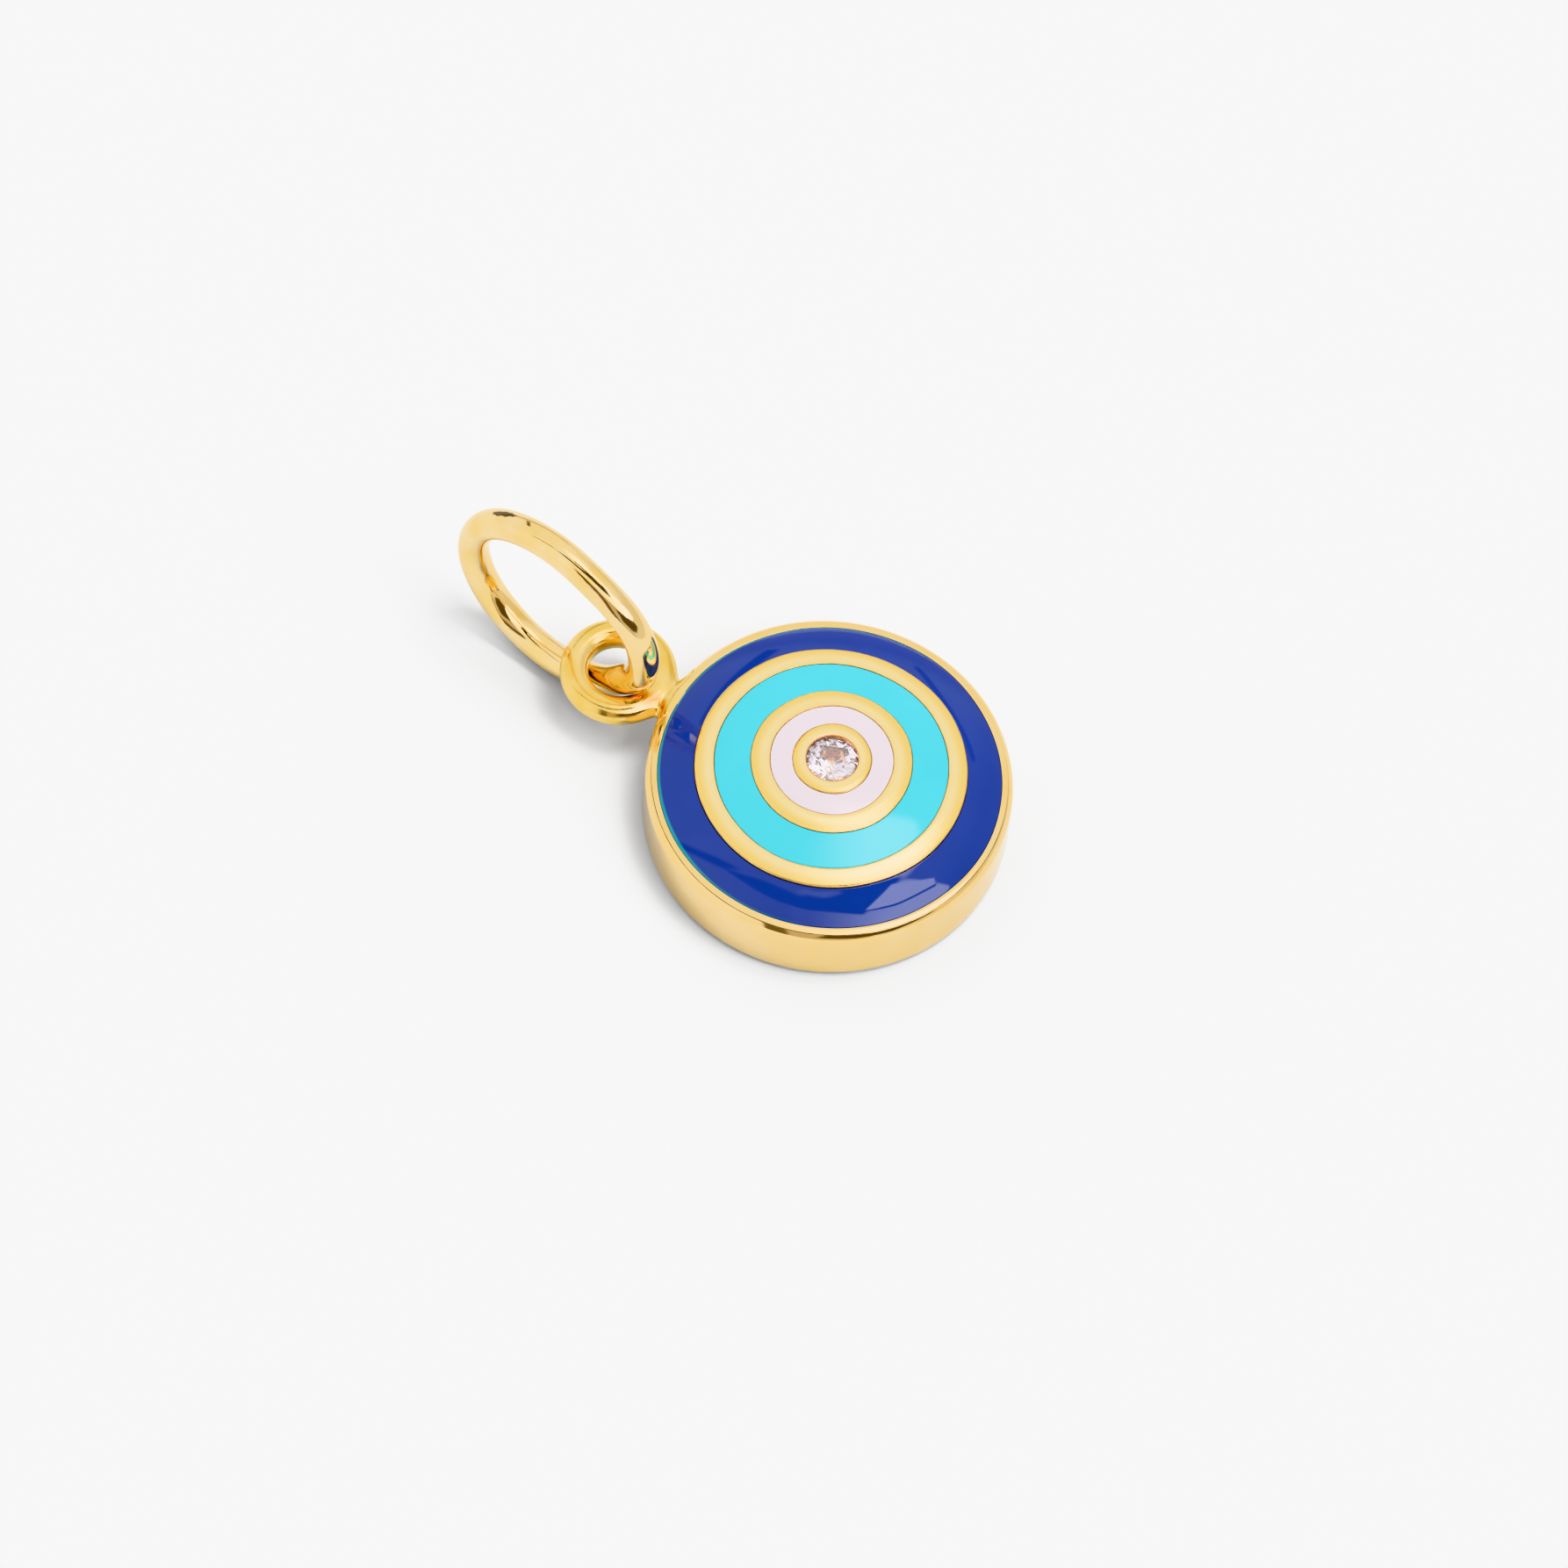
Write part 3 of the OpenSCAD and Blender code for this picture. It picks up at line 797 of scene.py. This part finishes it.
# The room round the object, in degrees from straight up: x to the camera's right and y away from it.
# Each patch has a brightness, a softness in degrees and its corners, counterclockwise; a later one covers an
# earlier one. Where a second brightness is given, the first changes to it across the two values of x.
room = {
    "bright": 1.14, "darkTone": (1, 0.74, 0.52), "darkFrom": (0.25, 0.95),
    "litRoom": 0.66, "lampsFrom": 1.2, "litLamps": 2.9, "litSlant": (-0.007, 0.016),
    "patches": [
        {"what": "dim right side", "bright": 0.85, "soft": 16,
         "at": [(40, -100), (110, -100), (110, 100), (40, 100)]},
        {"what": "bright left side", "bright": 1.35, "soft": 20,
         "at": [(-110, -62), (-26, -62), (-26, 2), (-110, 2)]},
        {"what": "dim far behind", "bright": 0.72, "soft": 10,
         "at": [(-60, 73), (60, 73), (60, 110), (-60, 110)]},
        {"what": "dark edge behind on the left", "bright": 0.1, "soft": 1.6,
         "at": [(-33, 40), (-17, 71), (-21, 73), (-37, 42)]},
        {"what": "dim edge behind on the right", "bright": 0.4, "soft": 1.2,
         "at": [(38, 41), (40, 43), (20, 73), (18, 71)]},
        {"what": "lamp above", "bright": 1.2, "to": 4.7, "across": (-5, 14), "soft": 2.4,
         "at": [(-7, -5), (24, -5), (27, 2), (22, 16), (-7, 16)]},
        {"what": "lamp in front", "bright": 1.3, "to": 5.2, "across": (-4, 34), "soft": 1.5,
         "at": [(-8, -46), (48, -46), (57, -18), (48, -8), (26, -4), (-8, -18)]},
        {"what": "dark strip on the left", "bright": 0.05, "soft": 3,
         "at": [(-54, -5.5), (-30, -12.5), (-24, -10), (-30, -7), (-54, -2.5)]},
        {"what": "dark strip in front", "bright": 0.05, "soft": 2.2,
         "at": [(-30, -12.5), (-16, -22), (0, -26), (4, -15), (-14, -13.5), (-27, -8.5)]},
        {"what": "dark middle", "bright": 0.04, "soft": 1.8,
         "at": [(-7, -24.5), (0, -26), (17.5, -25), (24, -3), (2, -7)]},
        {"what": "pale glint", "bright": 1.7, "soft": 2.2,
         "at": [(-5, -15.5), (4, -17), (9, -13), (8, -11.5), (-4, -13)]},
        {"what": "gap between lamps", "bright": 0.1, "soft": 0.8,
         "at": [(16, -23.4), (28.8, -18.1), (41, -8), (40, -6.5), (28, -15)]},
        {"what": "bright corner of the lamp", "bright": 5.4, "soft": 0.8,
         "at": [(17.5, -21.7), (28.3, -16.7), (40, -7), (37.5, -4), (21.7, -6.5)]},
        {"what": "dark stand on the left", "bright": 0.2, "soft": 1.8,
         "at": [(-36, -97), (-14, -97), (-9, -42), (-20, -40)]},
        {"what": "dim middle", "bright": 0.65, "soft": 4,
         "at": [(-15, -97), (10, -97), (10, -46), (-10, -44)]},
        {"what": "dim foot on the right", "bright": 0.7, "soft": 4,
         "at": [(6, -97), (44, -88), (40, -68), (6, -70)]},
        {"what": "dark stand on the right", "bright": 0.12, "soft": 2.5,
         "at": [(4, -76), (30, -74), (36, -46), (7, -52)]},
        {"what": "dark far right", "bright": 0.12, "soft": 2.5,
         "at": [(28, -75), (50, -62), (64, -33), (58, -29), (30, -46)]},
    ],
}


def lightRoom(world):
    # every direction becomes degrees across and away, and each patch is where it lies inside all its edges
    tree = world.node_tree
    way = addNode(tree, "ShaderNodeTexCoord").outputs["Generated"]
    az = math.radians(studio["azimuth"])
    across, ahead, upwards = (vectorOf(tree, "DOT_PRODUCT", way, axis) for axis in (
        (math.cos(az), math.sin(az), 0), (-math.sin(az), math.cos(az), 0), (0, 0, 1)))
    flat = mathOf(tree, "SQRT", mathOf(tree, "SUBTRACT", 1, mathOf(tree, "MULTIPLY", upwards, upwards)))
    tilt = mathOf(tree, "MULTIPLY", mathOf(tree, "ARCCOSINE", upwards), 180 / math.pi)
    share = mathOf(tree, "DIVIDE", tilt, mathOf(tree, "MAXIMUM", flat, 1e-5))
    x, y = mathOf(tree, "MULTIPLY", across, share), mathOf(tree, "MULTIPLY", ahead, share)
    light = None
    for patch in room["patches"]:
        inside = None
        corners = patch["at"]
        # across each edge it goes from 0 to 1, half of the softness on either side
        for (x0, y0), (x1, y1) in zip(corners, corners[1:] + corners[:1]):
            long = math.hypot(x1 - x0, y1 - y0) * patch["soft"]
            a, b = (y0 - y1) / long, (x1 - x0) / long
            c = -(a * x0 + b * y0) + 0.5
            edge = mathOf(tree, "MULTIPLY_ADD", y, b, mathOf(tree, "MULTIPLY_ADD", x, a, c), clamp=True)
            inside = edge if inside is None else mathOf(tree, "MULTIPLY", inside, edge)
        value = patch["bright"]
        if "to" in patch:
            low, high = patch["across"]
            ramp = addNode(tree, "ShaderNodeMapRange", interpolation_type="SMOOTHSTEP")
            ends = {"From Min": low, "From Max": high, "To Min": value, "To Max": patch["to"]}
            for key, number in ends.items():
                ramp.inputs[key].default_value = number
            tree.links.new(x, ramp.inputs["Value"])
            value = ramp.outputs["Result"]
        before = room["bright"] if light is None else light
        change = mathOf(tree, "SUBTRACT", value, before)
        light = mathOf(tree, "MULTIPLY_ADD", inside, change, before)
    # what is only lit, not mirrored, gets more from the lamps and less from the room, so the shadows keep
    # their depth, and more from the left and from behind than from the right and the camera's side
    lamps = mathOf(tree, "MAXIMUM", mathOf(tree, "SUBTRACT", light, room["lampsFrom"]), 0)
    more = mathOf(tree, "MULTIPLY", lamps, room["litLamps"])
    lit = mathOf(tree, "MULTIPLY_ADD", light, room["litRoom"], more)
    slantX, slantY = room["litSlant"]
    slant = mathOf(tree, "MULTIPLY_ADD", y, slantY, mathOf(tree, "MULTIPLY_ADD", x, slantX, 1.0))
    lit = mathOf(tree, "MULTIPLY", lit, mathOf(tree, "MAXIMUM", slant, 0))
    # the dark parts of the room are warm where they are mirrored
    direct = mathOf(tree, "LESS_THAN", lightPath(tree, "Diffuse Depth"), 0.5)
    mirrored = mathOf(tree, "MULTIPLY", lightPath(tree, "Is Glossy Ray"), direct)
    warm = mathOf(tree, "MULTIPLY", rangeOf(tree, light, 1, 0, *room["darkFrom"]), mirrored)
    light = mathOf(tree, "MULTIPLY_ADD", mirrored, mathOf(tree, "SUBTRACT", light, lit), lit)
    # seen straight on, the room is as plain and pale as the floor
    seen = lightPath(tree, "Is Camera Ray")
    light = mathOf(tree, "MULTIPLY_ADD", seen, mathOf(tree, "SUBTRACT", studio["behind"], light), light)
    background = tree.nodes["Background"]
    tree.links.new(mixColour(tree, warm, (1, 1, 1), room["darkTone"]), background.inputs["Color"])
    tree.links.new(light, background.inputs["Strength"])


def makeStudio():
    # a pale floor, under a pale room with lamps overhead and the dark of the camera's side
    floorMesh = bpy.data.meshes.new("paleFloor")
    reach = studio["floorReach"]
    corners = [(-reach, -reach, 0), (reach, -reach, 0), (reach, reach, 0), (-reach, reach, 0)]
    floorMesh.from_pydata(corners, [], [(0, 1, 2, 3)])
    floor = bpy.data.objects.new("paleFloor", floorMesh)
    bpy.context.collection.objects.link(floor)
    paper, tree, shader = newMaterial("palePaper", Roughness=studio["paperRough"])
    grain = noiseOf(tree, objectPlace(tree), studio["grain"])
    paler = tuple(v * studio["grainShare"] for v in studio["floor"])
    seen = mixColour(tree, grain, studio["floor"], paler)
    # the gold sees a slightly duller paper than the camera does
    dulled = blendTo(tree, lightPath(tree, "Is Glossy Ray"), seen, studio["mirroredFloor"])
    tree.links.new(dulled, shader.inputs["Base Color"])
    floorMesh.materials.append(paper)
    world = bpy.data.worlds.new("paleRoom")
    world.use_nodes = True
    lightRoom(world)
    bpy.context.scene.world = world


def makeCamera():
    # a long lens at the photograph's angle: three angles turn it, and rimAt places the rim's middle
    az, el, roll = (math.radians(studio[k]) for k in ("azimuth", "elevation", "roll"))
    look = Vector((-math.sin(az) * math.cos(el), math.cos(az) * math.cos(el), -math.sin(el)))
    right = Vector((math.cos(az), math.sin(az), 0))
    up = right.cross(look)
    rolledRight = right * math.cos(roll) + up * math.sin(roll)
    rolledUp = up * math.cos(roll) - right * math.sin(roll)
    middle = studio["imageSize"] / 2
    shiftX = (middle - studio["rimAt"][0]) / studio["scale"] * mm
    shiftY = (studio["rimAt"][1] - middle) / studio["scale"] * mm
    target = Vector((0, 0, face["rimZ"] * mm)) + rolledRight * shiftX + rolledUp * shiftY
    data = bpy.data.cameras.new("camera")
    data.sensor_fit = "HORIZONTAL"
    data.sensor_width = studio["sensor"]
    data.lens = studio["sensor"] * studio["distance"] / (studio["imageSize"] / studio["scale"] * mm)
    data.clip_start, data.clip_end = studio["clip"]
    camera = bpy.data.objects.new("camera", data)
    turn = Matrix((rolledRight, rolledUp, -look)).transposed().to_4x4()
    camera.matrix_world = Matrix.Translation(target - look * studio["distance"]) @ turn
    bpy.context.collection.objects.link(camera)
    bpy.context.scene.camera = camera


makeStudio()
makeCamera()
bpy.context.scene.view_settings.view_transform = "Khronos PBR Neutral"
print("studio made")
